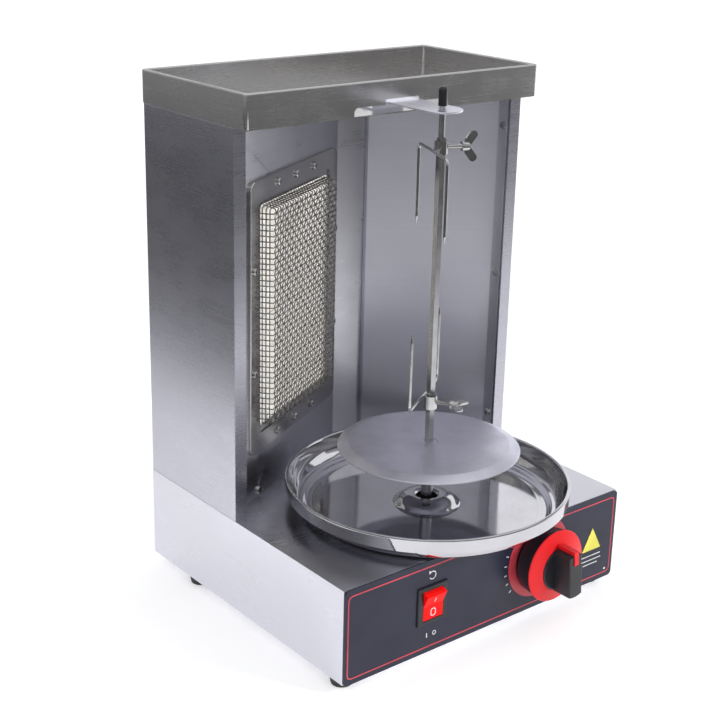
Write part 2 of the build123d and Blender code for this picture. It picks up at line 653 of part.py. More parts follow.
def tray_rim():
    """Upright wall round the tray with a rolled hem and an inner foot flange."""
    base = PLATE_Z + SHEET

    def ring(inset, thickness, z0, z1):
        outer = rounded_plate(-TRAY_SIDE + inset, TRAY_SIDE - inset, TRAY_FRONT + inset, TRAY_REAR - inset,
                              3, z0, z1)
        t = inset + thickness
        inner = rounded_plate(-TRAY_SIDE + t, TRAY_SIDE - t, TRAY_FRONT + t, TRAY_REAR - t, 2, z0 - 1, z1 + 1)
        return outer - inner
    hem = ring(0, HEM_T, TRAY_TOP - HEM_H, TRAY_TOP)
    hem = fillet(hem.faces().sort_by(Axis.Z)[-1].edges(), 1.3)
    rim = hem + ring(0, 1.2, base, TRAY_TOP - HEM_H + 1) + ring(0.6, 9, base, base + SHEET)
    return rim - notch(TRAY_FRONT - 1, TRAY_FRONT + 12)


def spit_bracket():
    """Folded tongue that holds the top of the spit, screwed to the tray floor."""
    floor_z = PLATE_Z + SHEET
    riser_y = 145.0
    tongue = block(-TONGUE_HALF, TONGUE_HALF, SPIT_Y, riser_y, TONGUE_Z, TONGUE_Z + TONGUE_T)
    tongue += rod((0, SPIT_Y, TONGUE_Z), (0, 0, 1), TONGUE_HALF, TONGUE_T)
    riser = block(-TONGUE_HALF, TONGUE_HALF, riser_y - TONGUE_T, riser_y, floor_z, TONGUE_Z + TONGUE_T)
    foot_plate = block(-TONGUE_HALF, TONGUE_HALF, riser_y - TONGUE_T, 172, floor_z, floor_z + TONGUE_T)
    bracket = tongue + riser + foot_plate - rod((0, SPIT_Y, TONGUE_Z - 1), (0, 0, 1), 3.0, 5)
    for x in (-9.0, 9.0):
        bracket -= rod((x, 160, floor_z - 1), (0, 0, 1), 1.6, 4)
    return bracket


# ---------------------------------------------------------------- burner (along the wall, height, out)
def burner_frame():
    """Pressed retaining frame: raised outer band with a returned edge and a lower inner ledge."""
    frame = rounded_plate(0, FRAME_W, FRAME_LOW, FRAME_HIGH, 9, 0, FRAME_PROUD)
    frame = fillet(frame.faces().sort_by(Axis.Z)[-1].edges(), 1.2)
    frame -= rounded_plate(LEDGE, FRAME_W - LEDGE, FRAME_LOW + LEDGE, FRAME_HIGH - LEDGE, 5, 1.6, 5)
    groove = rounded_plate(1.3, FRAME_W - 1.3, FRAME_LOW + 1.3, FRAME_HIGH - 1.3, 8, -1, 1.8)
    groove -= rounded_plate(LEDGE - 1.5, FRAME_W - LEDGE + 1.5, FRAME_LOW + LEDGE - 1.5,
                            FRAME_HIGH - LEDGE + 1.5, 6, -2, 3)
    frame -= groove
    frame -= rounded_plate(MESH_LEFT - 1, MESH_RIGHT + 1, MESH_LOW - 1, MESH_HIGH + 1, 4, -1, 5)
    gap = 0.3
    frame -= block(CERAMIC_LEFT - gap, CERAMIC_RIGHT + gap, CERAMIC_LOW - gap, CERAMIC_HIGH + gap, -1,
                   CERAMIC_FACE)
    for t, z in burner_screw_places():
        frame -= rod((t, z, -1), (0, 0, 1), 1.6, 6)
    return WALL_LOC * frame


def mesh_wire(start, end, height, layer):
    """Outline points of one hat-shaped wire: foot, rise, flat top, fall, foot."""
    half = MESH_WIRE / 2
    low = 0.6 + layer
    high = height + layer
    return [(start, low), (start + MESH_TAPER, high), (end - MESH_TAPER, high), (end, low), (end - 2 * half, low),
            (end - MESH_TAPER - half, height + layer - 2 * half),
            (start + MESH_TAPER + half, height + layer - 2 * half), (start + 2 * half, low)]


def burner_mesh():
    """Woven guard: upright and level wires, each bent over the ceramic plates."""
    wires = []
    half = MESH_WIRE / 2
    top = MESH_PROUD - MESH_WIRE
    width = MESH_RIGHT - MESH_LEFT
    height = MESH_HIGH - MESH_LOW
    columns = int((width - 2 * MESH_TAPER - 3) / MESH_PITCH)
    rows = int((height - 2 * MESH_TAPER - 3) / MESH_PITCH)
    first_t = MESH_LEFT + (width - columns * MESH_PITCH) / 2
    first_z = MESH_LOW + (height - rows * MESH_PITCH) / 2
    for i in range(columns + 1):
        t = first_t + i * MESH_PITCH
        outline = [(t - half, z, d) for z, d in mesh_wire(MESH_LOW, MESH_HIGH, top, MESH_WIRE)]
        wires.append(extrude(make_face(Polyline(*outline, close=True)), MESH_WIRE, dir=(1, 0, 0)))
    for j in range(rows + 1):
        z = first_z + j * MESH_PITCH
        outline = [(t, z - half, d) for t, d in mesh_wire(MESH_LEFT, MESH_RIGHT, top, 0)]
        wires.append(extrude(make_face(Polyline(*outline, close=True)), MESH_WIRE, dir=(0, 1, 0)))
    return [WALL_LOC * wire for wire in wires]


def ceramic_plates():
    """Two ceramic burner plates, one over the other."""
    middle = (CERAMIC_LOW + CERAMIC_HIGH) / 2
    rear = CERAMIC_FACE - CERAMIC_T
    return [WALL_LOC * block(CERAMIC_LEFT, CERAMIC_RIGHT, low, high, rear, CERAMIC_FACE)
            for low, high in ((CERAMIC_LOW, middle - 0.4), (middle + 0.4, CERAMIC_HIGH))]


def burner_plenum():
    """Pressed gas box behind the ceramic plates, with a flange against the back of the wall."""
    left, right = 12.5, FRAME_W - 12.5
    low, high = FRAME_LOW + 12.5, FRAME_HIGH - 12.5
    wall_back = -SHEET - 0.05
    box = rounded_plate(left, right, low, high, 5, -PLENUM_DEPTH, wall_back)
    box += rounded_plate(2, FRAME_W - 2, FRAME_LOW + 2, FRAME_HIGH - 2, 6, wall_back - 1.2, wall_back)
    box -= rounded_plate(left + 1.2, right - 1.2, low + 1.2, high - 1.2, 4, -PLENUM_DEPTH + 1.2, 2)
    for shelf_low, shelf_high in ((low + 0.6, CERAMIC_LOW - 0.05), (CERAMIC_HIGH + 0.05, high - 0.6)):
        box += block(left + 0.6, right - 0.6, shelf_low, shelf_high, -14.0, -12.6)
    for t, z in burner_screw_places():
        box -= rod((t, z, -8), (0, 0, 1), 1.6, 10)
    box = WALL_LOC * box
    return box - rod((TUBE_X, TUBE_Y, FRAME_LOW + 8), (0, 0, 1), TUBE_R - 1.5, 8)


def mixing_tube():
    """Tube that brings gas and air up from the injector to the gas box."""
    bottom = VALVE_Z + 12
    top = FRAME_LOW + 12.5
    tube = rod((TUBE_X, TUBE_Y, bottom), (0, 0, 1), TUBE_R, top - bottom)
    tube += rod((TUBE_X, TUBE_Y, bottom), (0, 0, 1), TUBE_R + 2, 4)
    return tube - rod((TUBE_X, TUBE_Y, bottom - 1), (0, 0, 1), TUBE_R - 1.5, top - bottom + 2)


# ---------------------------------------------------------------- write every node
def main():
    os.makedirs("parts", exist_ok=True)
    save("base_shell", base_shell())
    save("base_floor", base_floor())
    save("rubber_feet", *[foot(x, y) for x, y in FOOT_PLACES])
    save("foot_screws", *[pan_screw((x, y, -4), (0, 0, 1), 8, 4.0, 2.6, 2.0) for x, y in FOOT_PLACES])
    save("floor_screws", *[pan_screw((x, y, 0), (0, 0, 1), 4) for x, y in FLOOR_SCREWS])
    save("control_fascia", fascia())
    save("switch_bezel", switch_bezel())
    save("switch_rocker", rocker())
    save("switch_terminals", *terminals())
    save("knob_body", knob_body())
    save("knob_ring", knob_ring())
    save("knob_pointer", knob_pointer())
    save("valve_body", valve_body())
    save("valve_stem", valve_stem())
    save("valve_spring", valve_spring())
    z = VALVE_Z
    outlet = [(VALVE_X, 50, z), (VALVE_X, 135, z), (TUBE_X, 165, z), (TUBE_X, TUBE_Y - 3, z)]
    supply = [(VALVE_X + 14, 35, z), (INLET_X, 35, z), (INLET_X, DEPTH - 6.5, z)]
    save("burner_pipe", pipe(outlet, 4.0, 3.0, 16))
    save("supply_pipe", pipe(supply, 4.0, 3.0, 16))
    save("gas_jet", gas_jet())
    save("jet_bracket", jet_bracket())
    save("gas_inlet", gas_inlet())
    save("power_gland", power_gland())
    save("motor_case", motor_case())
    save("motor_bracket", motor_bracket())
    seat_z = MOTOR_TOP + 1.5
    save("motor_screws", *[pan_screw((x, y, seat_z), (0, 0, -1), 4.5, 3.0, 1.8) for x, y in MOTOR_SCREWS])
    save("motor_shaft", motor_shaft())
    save("drive_socket", drive_socket())
    save("spit_shaft", spit_shaft())
    save("spit_cap", spit_cap())
    save("meat_disc", meat_disc())
    save("spit_hub", spit_hub())
    for name, (angle, wire_z, tip_z, half_span, collar_z) in FORKS.items():
        save(f"{name}_fork", fork(angle, wire_z, tip_z, half_span, collar_z))
        save(f"{name}_wing_screw", wing_screw(angle, collar_z, name == "lower"))
    save("drip_pan", drip_pan())
    save("left_side_panel", side_panel(-1, 164.0))
    save("right_side_panel", side_panel(1, 184.0))
    save("back_cover", back_cover())
    places = [(side * COVER_SCREW_X, z) for side in (-1, 1) for z in COVER_SCREW_Z]
    save("cover_screws", *[pan_screw((x, DEPTH, z), (0, -1, 0), 4) for x, z in places])
    save("burner_wall", burner_wall())
    save("right_reflector", right_reflector())
    seats = [(REFLECTOR[-1][0], REFLECTOR_SCREW_Y, z) for z in REFLECTOR_SCREW_Z]
    save("reflector_screws", *[pan_screw(seat, (1, 0, 0), 1.6) for seat in seats])
    save("top_plate", top_plate())
    save("tray_rim", tray_rim())
    save("spit_bracket", spit_bracket())
    top = PLATE_Z + SHEET + TONGUE_T
    save("bracket_screws", *[pan_screw((x, 160, top), (0, 0, -1), 4) for x in (-9.0, 9.0)])
    save("burner_frame", burner_frame())
    save("burner_mesh", *burner_mesh())
    save("ceramic_plates", *ceramic_plates())
    save("burner_plenum", burner_plenum())
    save("mixing_tube", mixing_tube())
    screws = [pan_screw((t, z, FRAME_PROUD), (0, 0, -1), 5.5) for t, z in burner_screw_places()]
    screws.append(pan_screw((*WALL_FOOT_SCREW, 0), (0, 0, -1), 3))
    save("burner_screws", *[WALL_LOC * screw for screw in screws])


main()
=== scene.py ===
"""Looks of a table-top vertical rotisserie oven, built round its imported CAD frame.

Lengths are in millimetres in the part's own frame (x to the user's right from the middle, y to the
rear from the fascia, z up from the underside of the base box) and are moved into the row frame,
in metres, by the matrix PART.
"""
import math

import bmesh
import bpy
from mathutils import Matrix, Vector


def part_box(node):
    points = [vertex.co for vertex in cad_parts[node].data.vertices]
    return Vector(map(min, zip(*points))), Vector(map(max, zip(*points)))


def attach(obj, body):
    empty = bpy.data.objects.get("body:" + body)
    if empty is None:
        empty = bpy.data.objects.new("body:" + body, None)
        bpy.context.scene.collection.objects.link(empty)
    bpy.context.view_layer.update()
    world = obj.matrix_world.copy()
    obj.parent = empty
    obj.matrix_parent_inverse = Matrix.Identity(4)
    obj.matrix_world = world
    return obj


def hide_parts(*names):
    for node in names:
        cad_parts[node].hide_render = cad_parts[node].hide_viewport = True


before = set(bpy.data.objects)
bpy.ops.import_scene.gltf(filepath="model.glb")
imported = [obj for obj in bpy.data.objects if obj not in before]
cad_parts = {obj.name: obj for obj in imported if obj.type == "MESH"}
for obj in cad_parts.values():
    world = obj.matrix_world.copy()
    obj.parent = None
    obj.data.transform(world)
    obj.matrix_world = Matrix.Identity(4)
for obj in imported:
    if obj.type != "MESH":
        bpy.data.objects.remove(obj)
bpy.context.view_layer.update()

# ------------------------------------------------------------------ places taken from the frame
MM = 0.001
FOOT_H = 8.0
FRONT_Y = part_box("control_fascia")[0].y / MM
PART = Matrix.Translation((0, FRONT_Y * MM, FOOT_H * MM)) @ Matrix.Scale(MM, 4)
BASE_H = 81.0
SPIT_Y = 79.5

WALL_ANGLE = math.radians(28.0)
WALL_ORIGIN = Vector((-123.8, 163.5, 0))
WALL_ALONG = Vector((math.cos(WALL_ANGLE), math.sin(WALL_ANGLE), 0))
WALL_OUT = Vector((math.sin(WALL_ANGLE), -math.cos(WALL_ANGLE), 0))

SWITCH = Vector((-62.9, 0, 43.0))
ROCKER_SWING = math.radians(24.0)
KNOB = Vector((56.0, 0, 46.0))


def wall_point(along, height, out):
    """A point given along the burner wall, up it and out from its front face."""
    return WALL_ORIGIN + WALL_ALONG * along + WALL_OUT * out + Vector((0, 0, height))


# ------------------------------------------------------------------ mesh helpers
def piece(name, verts, faces, finish, body, stands_for=(), slot=None, place=None, sharp=35.0):
    """Make a mesh object from millimetre points and let it ride on a body of the frame."""
    mesh = bpy.data.meshes.new(name)
    mesh.from_pydata([tuple(v) for v in verts], [], faces)
    if place is not None:
        mesh.transform(place)
    mesh.transform(PART)
    shape = bmesh.new()
    shape.from_mesh(mesh)
    bmesh.ops.remove_doubles(shape, verts=shape.verts, dist=1e-7)
    bmesh.ops.recalc_face_normals(shape, faces=shape.faces)
    shape.to_mesh(mesh)
    shape.free()
    mesh.shade_smooth()
    mesh.set_sharp_from_angle(angle=math.radians(sharp))
    mesh.materials.append(finish)
    obj = bpy.data.objects.new(name, mesh)
    bpy.context.scene.collection.objects.link(obj)
    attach(obj, body)
    if stands_for:
        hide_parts(*stands_for)
    return obj


def rounded(points, radius, steps=5, closed=False):
    """Round the corners of a line of points (2-D or 3-D) with arcs."""
    points = [Vector(p) for p in points]
    count = len(points)
    line = []
    for i, corner in enumerate(points):
        if not closed and i in (0, count - 1):
            line.append(corner)
            continue
        before, after = points[i - 1], points[(i + 1) % count]
        reach = min(radius, (before - corner).length * 0.48, (after - corner).length * 0.48)
        start = corner + (before - corner).normalized() * reach
        end = corner + (after - corner).normalized() * reach
        for k in range(steps + 1):
            u = k / steps
            line.append(start * (1 - u) ** 2 + corner * (2 * u * (1 - u)) + end * u * u)
    return line


def lathe(profile, steps=160):
    """Vertices and faces of a closed (radius, height) outline turned about z."""
    count = len(profile)
    verts = []
    for k in range(steps):
        a = 2 * math.pi * k / steps
        verts += [(r * math.cos(a), r * math.sin(a), z) for r, z in profile]
    faces = []
    for k in range(steps):
        here, there = k * count, (k + 1) % steps * count
        for i in range(count):
            j = (i + 1) % count
            if profile[i][0] > 1e-6 or profile[j][0] > 1e-6:
                faces.append((here + i, there + i, there + j, here + j))
    return verts, faces


def tube(path, radius, sides=8, ring_closed=False):
    """Vertices and faces of a round bar along a path; radius is a number or a function of 0..1."""
    size = radius if callable(radius) else (lambda share: radius)
    count = len(path)
    verts = []
    side = None
    for i, p in enumerate(path):
        before = path[i - 1] if i or ring_closed else path[i]
        after = path[(i + 1) % count] if i < count - 1 or ring_closed else path[i]
        along = (after - before).normalized()
        if side is None:
            side = along.orthogonal().normalized()
        side = (side - along * side.dot(along)).normalized()
        up = along.cross(side)
        r = size(i / (count - 1))
        for k in range(sides):
            a = 2 * math.pi * k / sides
            verts.append(p + side * (math.cos(a) * r) + up * (math.sin(a) * r))
    faces = []
    spans = count if ring_closed else count - 1
    for i in range(spans):
        here, there = i * sides, (i + 1) % count * sides
        faces += [(here + k, here + (k + 1) % sides, there + (k + 1) % sides, there + k)
                  for k in range(sides)]
    if not ring_closed:
        faces.append(tuple(range(sides))[::-1])
        faces.append(tuple(range((count - 1) * sides, count * sides)))
    return verts, faces


def prism(outline, front, back):
    """A flat plate between two y planes from an (x, z) outline."""
    count = len(outline)
    verts = [(x, front, z) for x, z in outline] + [(x, back, z) for x, z in outline]
    faces = [tuple(range(count)), tuple(range(2 * count - 1, count - 1, -1))]
    faces += [(i, (i + 1) % count, count + (i + 1) % count, count + i) for i in range(count)]
    return verts, faces


def band(outer, inner, front, back, closed=True):
    """A flat strip between two (x, z) outlines that have the same number of points."""
    count = len(outer)
    verts = [(x, y, z) for y in (front, back) for line in (outer, inner) for x, z in line]
    faces = []
    for i in range(count if closed else count - 1):
        j = (i + 1) % count
        corners = [i, j, count + j, count + i]
        faces.append(tuple(corners))
        faces.append(tuple(2 * count + c for c in reversed(corners)))
        faces.append((i, 2 * count + i, 2 * count + j, j))
        faces.append((count + i, count + j, 3 * count + j, 3 * count + i))
    if not closed:
        for i in (0, count - 1):
            faces.append((i, count + i, 3 * count + i, 2 * count + i))
    return verts, faces


def joined(parts):
    """Several (vertices, faces) sets as one."""
    verts, faces = [], []
    for more_verts, more_faces in parts:
        shift = len(verts)
        verts += list(more_verts)
        faces += [tuple(shift + i for i in face) for face in more_faces]
    return verts, faces


def arc(radius, start, end, steps=48, centre=(0, 0)):
    """Points on an arc, in degrees, in the (x, z) plane."""
    angles = [math.radians(start + (end - start) * k / steps) for k in range(steps + 1)]
    return [(centre[0] + radius * math.cos(a), centre[1] + radius * math.sin(a)) for a in angles]


# ------------------------------------------------------------------ material helpers
def add(tree, kind, inputs=None, **settings):
    """A shader node with its settings, its values and its links."""
    made = tree.nodes.new(kind)
    for key, value in settings.items():
        setattr(made, key, value)
    for key, value in (inputs or {}).items():
        if isinstance(value, bpy.types.NodeSocket):
            tree.links.new(value, made.inputs[key])
        else:
            made.inputs[key].default_value = value
    return made


def noise(tree, coords, scale, detail=3.0, roughness=0.5):
    """Noise with its own scale per axis (features per metre)."""
    place = add(tree, "ShaderNodeMapping", {"Vector": coords, "Scale": scale})
    return add(tree, "ShaderNodeTexNoise", {"Vector": place.outputs["Vector"], "Scale": 1.0,
                                            "Detail": detail, "Roughness": roughness}).outputs["Fac"]


def spread(tree, value, low, high, out_low, out_high):
    """Map a range of values to another."""
    return add(tree, "ShaderNodeMapRange", {"Value": value, "From Min": low, "From Max": high,
                                            "To Min": out_low, "To Max": out_high}).outputs["Result"]


def blend_colour(tree, share, first, second):
    """Mix two colours or colour sockets."""
    mix = tree.nodes.new("ShaderNodeMix")
    mix.data_type = "RGBA"
    for socket, value in ((mix.inputs["Factor"], share), (mix.inputs[6], first), (mix.inputs[7], second)):
        if isinstance(value, bpy.types.NodeSocket):
            tree.links.new(value, socket)
        else:
            socket.default_value = value
    return mix.outputs[2]


def grey(level, warmth=0.0):
    """A neutral colour, a little warmer, or bluer where warmth is negative."""
    return (level * (1 + max(warmth, 0)), level, level * (1 - warmth), 1)


def new_material(name, metallic, **sockets):
    """A material with its shader's constant values set on their own sockets."""
    mat = bpy.data.materials.new(name)
    mat.use_nodes = True
    tree = mat.node_tree
    shader = tree.nodes["Principled BSDF"]
    shader.inputs["Metallic"].default_value = metallic
    for key, value in sockets.items():
        shader.inputs[key.replace("_", " ")].default_value = value
    coords = add(tree, "ShaderNodeTexCoord").outputs["Object"]
    return mat, tree, shader, coords


def bump(tree, shader, height, depth, strength=0.5):
    """Bump of a depth in metres."""
    made = add(tree, "ShaderNodeBump", {"Height": height, "Distance": depth, "Strength": strength})
    tree.links.new(made.outputs["Normal"], shader.inputs["Normal"])


def brushed(name, level, rough, warmth=0.0, grain=(14, 14, 1500), flat_grain=(14, 1500, 1500),
            smudge=0.06, stain=0.0, streak=0.10, depth=0.00001):
    """Brushed sheet steel: fine parallel grain, cloudy smears in the gloss, faint stains."""
    mat, tree, shader, coords = new_material(name, 1.0)
    facing = add(tree, "ShaderNodeSeparateXYZ",
                 {"Vector": add(tree, "ShaderNodeNewGeometry").outputs["Normal"]})
    level_up = add(tree, "ShaderNodeMath", {0: facing.outputs["Z"]}, operation="ABSOLUTE").outputs[0]
    flat = add(tree, "ShaderNodeMath", {0: level_up, 1: 0.6}, operation="GREATER_THAN").outputs[0]
    upright = noise(tree, coords, grain)
    lying = noise(tree, coords, flat_grain)
    lines = add(tree, "ShaderNodeMix", {"Factor": flat, 2: upright, 3: lying}).outputs[0]
    cloud = noise(tree, coords, (9, 9, 6), detail=5.0, roughness=0.6)
    smear = noise(tree, coords, (30, 22, 60), detail=4.0)
    base = blend_colour(tree, spread(tree, lines, 0.35, 0.65, 0, 1),
                        grey(level * (1 - streak), warmth), grey(level * (1 + streak * 0.5), warmth))
    base = blend_colour(tree, spread(tree, cloud, 0.45, 0.75, 0, stain), base, (0.42, 0.34, 0.27, 1))
    tree.links.new(base, shader.inputs["Base Color"])
    rough_lines = spread(tree, lines, 0.3, 0.7, rough - 0.02, rough + 0.02)
    rough_all = add(tree, "ShaderNodeMath",
                    {0: rough_lines, 1: spread(tree, smear, 0.35, 0.7, -smudge, smudge)},
                    operation="ADD", use_clamp=True).outputs[0]
    tree.links.new(rough_all, shader.inputs["Roughness"])
    bump(tree, shader, lines, depth)
    return mat


def turned_steel(name, level, rough, centre, ring=900, depth=0.00001, streak=0.12, warmth=0.0, scratch=0.3,
                 blotch=0.45):
    """Steel with rings of fine marks about a vertical axis, and stray scratches."""
    mat, tree, shader, coords = new_material(name, 1.0)
    from_axis = add(tree, "ShaderNodeVectorMath", {0: coords, 1: (centre[0], centre[1], 0)},
                    operation="SUBTRACT")
    flat = add(tree, "ShaderNodeVectorMath", {0: from_axis.outputs[0], 1: (1, 1, 0)}, operation="MULTIPLY")
    radius = add(tree, "ShaderNodeVectorMath", {0: flat.outputs[0]}, operation="LENGTH").outputs["Value"]
    along = add(tree, "ShaderNodeCombineXYZ", {"X": radius}).outputs[0]
    rings = noise(tree, along, (ring, 1, 1), detail=4.0)
    cloud = noise(tree, coords, (22, 22, 22), detail=4.0, roughness=0.6)
    stray = noise(tree, coords, (700, 60, 60), detail=2.0)
    stray = spread(tree, stray, 0.66, 0.74, 0, scratch)
    base = blend_colour(tree, spread(tree, rings, 0.35, 0.65, 0, 1),
                        grey(level * (1 - streak), warmth), grey(level * (1 + streak * 0.4), warmth))
    base = blend_colour(tree, spread(tree, cloud, 0.4, 0.72, 0, blotch), base, grey(level * 0.74, warmth))
    tree.links.new(base, shader.inputs["Base Color"])
    rough_here = add(tree, "ShaderNodeMath",
                     {0: spread(tree, cloud, 0.3, 0.7, rough * 0.8, rough * 1.25), 1: stray},
                     operation="ADD", use_clamp=True).outputs[0]
    tree.links.new(rough_here, shader.inputs["Roughness"])
    bump(tree, shader, rings, depth)
    return mat


def plated(name, level, rough, warmth=0.0, mottle=90, depth=0.00002):
    """Bright plated or drawn metal with slight mottling."""
    mat, tree, shader, coords = new_material(name, 1.0)
    spots = noise(tree, coords, (mottle, mottle, mottle), detail=5.0, roughness=0.65)
    fine = noise(tree, coords, (1400, 1400, 500), detail=2.0)
    base = blend_colour(tree, spread(tree, spots, 0.35, 0.7, 0, 1),
                        grey(level, warmth), grey(level * 0.72, warmth))
    tree.links.new(base, shader.inputs["Base Color"])
    tree.links.new(spread(tree, spots, 0.3, 0.7, rough * 0.7, rough * 1.4), shader.inputs["Roughness"])
    bump(tree, shader, fine, depth, 0.4)
    return mat


def moulded(name, colour, rough, darker=0.8, grain=900, depth=0.00003, **sockets):
    """Moulded plastic, rubber, paint or ink: fine grain with slight change in colour and gloss."""
    mat, tree, shader, coords = new_material(name, 0.0, **sockets)
    fine = noise(tree, coords, (grain, grain, grain), detail=3.0)
    broad = noise(tree, coords, (35, 35, 35), detail=4.0)
    dark = tuple(c * darker for c in colour[:3]) + (1,)
    tree.links.new(blend_colour(tree, spread(tree, broad, 0.35, 0.7, 0, 1), colour, dark),
                   shader.inputs["Base Color"])
    tree.links.new(spread(tree, broad, 0.3, 0.7, rough - 0.06, rough + 0.08), shader.inputs["Roughness"])
    bump(tree, shader, fine, depth, 0.35)
    return mat


def burner_tile(name):
    """Cream ceramic with faint soot, and rows of small gas holes painted dark as painted shade inside them.
    """
    mat, tree, shader, coords = new_material(name, 0.0)
    turn = add(tree, "ShaderNodeMapping",
               {"Vector": coords, "Rotation": (0, 0, -WALL_ANGLE)}).outputs["Vector"]
    cells = add(tree, "ShaderNodeTexVoronoi", {"Vector": turn, "Scale": 430.0, "Randomness": 0.0})
    holes = spread(tree, cells.outputs["Distance"], 0.24, 0.34, 1.0, 0.0)
    cloud = noise(tree, coords, (40, 40, 40), detail=5.0)
    cream = blend_colour(tree, spread(tree, cloud, 0.35, 0.7, 0, 1),
                         (0.96, 0.93, 0.88, 1), (0.90, 0.86, 0.79, 1))
    # painted shade: each gas hole is coloured dark brown to stand for the shade inside it; the same mask also
    # drives the bump
    tree.links.new(blend_colour(tree, holes, cream, (0.30, 0.24, 0.17, 1)), shader.inputs["Base Color"])
    shader.inputs["Roughness"].default_value = 0.85
    bump(tree, shader, spread(tree, holes, 0, 1, 1, 0), 0.0006, 0.7)
    return mat


SPIT_AT = (0.0, (SPIT_Y + FRONT_Y) * MM)

steel_base = brushed("steel_base", 0.69, 0.30, warmth=-0.09, grain=(14, 14, 2600),
                     flat_grain=(14, 2600, 2600), smudge=0.03,
                     stain=0.04, streak=0.02, depth=0.0000003)
steel_side = brushed("steel_side", 0.53, 0.28, warmth=-0.12, grain=(14, 14, 2600), smudge=0.02, streak=0.02,
                     depth=0.0000003)
steel_wall = brushed("steel_wall", 0.63, 0.31, warmth=-0.07, grain=(8, 8, 2400), smudge=0.03,
                     streak=0.03, depth=0.000002)
steel_reflector = brushed("steel_reflector", 0.76, 0.40, warmth=-0.11, grain=(8, 8, 2600),
                          smudge=0.03, streak=0.03,
                          depth=0.000003)
steel_tray = brushed("steel_tray", 0.62, 0.26, warmth=0.01, grain=(9, 9, 2600), smudge=0.02,
                     streak=0.03, depth=0.0000005)
steel_frame = brushed("steel_frame", 0.54, 0.19, warmth=0.02, grain=(40, 40, 900), streak=0.04, smudge=0.04,
                      stain=0.10, depth=0.000002)
steel_tongue = brushed("steel_tongue", 0.88, 0.34, warmth=-0.12, streak=0.03, depth=0.000002)
pan_steel = turned_steel("pan_steel", 0.62, 0.075, SPIT_AT, warmth=-0.05, ring=500,
                         depth=0.000002, streak=0.04, scratch=0.12)
disc_steel = turned_steel("disc_steel", 0.76, 0.40, SPIT_AT, ring=1400, depth=0.000003,
                          streak=0.06, warmth=-0.14,
                          blotch=0.8)
bar_steel = brushed("bar_steel", 0.50, 0.22, warmth=-0.03, grain=(900, 900, 15), flat_grain=(900, 900, 900))
plated_steel = plated("plated_steel", 0.64, 0.16, warmth=0.0)
dark_steel = plated("dark_steel", 0.42, 0.35, warmth=0.01)
wire_steel = plated("wire_steel", 0.30, 0.26, warmth=0.02, mottle=160)
tile = burner_tile("burner_tile")
rubber = moulded("rubber", (0.022, 0.022, 0.024, 1), 0.65, grain=600)
cap_black = moulded("cap_black", (0.012, 0.012, 0.014, 1), 0.22, grain=400, depth=0.00001)
fascia_paint = moulded("fascia_paint", (0.017, 0.019, 0.038, 1), 0.36, darker=0.88, grain=1200, depth=0.00002,
                       Specular_IOR_Level=0.35)
knob_black = moulded("knob_black", (0.014, 0.014, 0.019, 1), 0.34, grain=1500, depth=0.00003)
knob_red = moulded("knob_red", (0.72, 0.012, 0.016, 1), 0.36, darker=0.88, grain=700,
                   depth=0.00001, Specular_IOR_Level=0.3)
rocker_red = moulded("rocker_red", (0.92, 0.008, 0.006, 1), 0.34, darker=0.92, grain=500, depth=0.00001,
                     Specular_IOR_Level=0.1)
ink_red = moulded("ink_red", (0.56, 0.05, 0.07, 1), 0.42, grain=1500, depth=0.00001)
ink_white = moulded("ink_white", (0.72, 0.72, 0.74, 1), 0.45, grain=1500, depth=0.00001)
ink_yellow = moulded("ink_yellow", (0.80, 0.74, 0.10, 1), 0.45, grain=1500, depth=0.00001)
ink_black = moulded("ink_black", (0.012, 0.012, 0.014, 1), 0.45, grain=1500, depth=0.00001)
brass = plated("brass", 0.55, 0.26, warmth=0.34)
aluminium = plated("aluminium", 0.72, 0.34)

FINISHES = {
    steel_base: ["base_shell", "base_floor"],
    steel_side: ["left_side_panel", "right_side_panel", "back_cover"],
    steel_wall: ["burner_wall"],
    steel_reflector: ["right_reflector"],
    steel_tray: ["tray_rim", "top_plate"],
    steel_tongue: ["spit_bracket"],
    steel_frame: ["burner_frame"],
    bar_steel: ["spit_shaft", "spit_hub", "motor_shaft"],
    dark_steel: ["drive_socket", "motor_bracket", "motor_case", "burner_plenum", "mixing_tube", "jet_bracket",
                 "switch_terminals"],
    plated_steel: ["upper_fork", "lower_fork", "upper_wing_screw", "lower_wing_screw", "foot_screws",
                   "floor_screws", "cover_screws", "reflector_screws", "bracket_screws", "burner_screws",
                   "motor_screws", "valve_spring"],
    pan_steel: ["drip_pan"],
    disc_steel: ["meat_disc"],
    wire_steel: ["burner_mesh"],
    tile: ["ceramic_plates"],
    rubber: ["rubber_feet"],
    cap_black: ["spit_cap"],
    fascia_paint: ["control_fascia"],
    knob_black: ["switch_bezel", "knob_body", "power_gland"],
    knob_red: ["knob_ring", "knob_pointer"],
    rocker_red: ["switch_rocker"],
    brass: ["valve_body", "valve_stem", "gas_jet", "gas_inlet"],
    aluminium: ["burner_pipe", "supply_pipe"],
}
for finish, names in FINISHES.items():
    for name in names:
        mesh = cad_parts[name].data
        mesh.materials.clear()
        mesh.materials.append(finish)


def soften(name, width, segments=2):
    """Round a CAD node's sharp edges a little, as folded and moulded edges are."""
    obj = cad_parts[name]
    weld = obj.modifiers.new("weld", "WELD")
    weld.merge_threshold = 1e-6
    edge = obj.modifiers.new("edge", "BEVEL")
    edge.width = width * MM
    edge.segments = segments
    edge.limit_method = "ANGLE"
    edge.angle_limit = math.radians(40)
    edge.harden_normals = True


for name, width in (("base_shell", 0.45), ("left_side_panel", 0.4), ("right_side_panel", 0.4),
                    ("upper_wing_screw", 0.45), ("lower_wing_screw", 0.45), ("spit_bracket", 0.3),
                    ("tray_rim", 0.35), ("right_reflector", 0.3), ("burner_wall", 0.3)):
    soften(name, width)

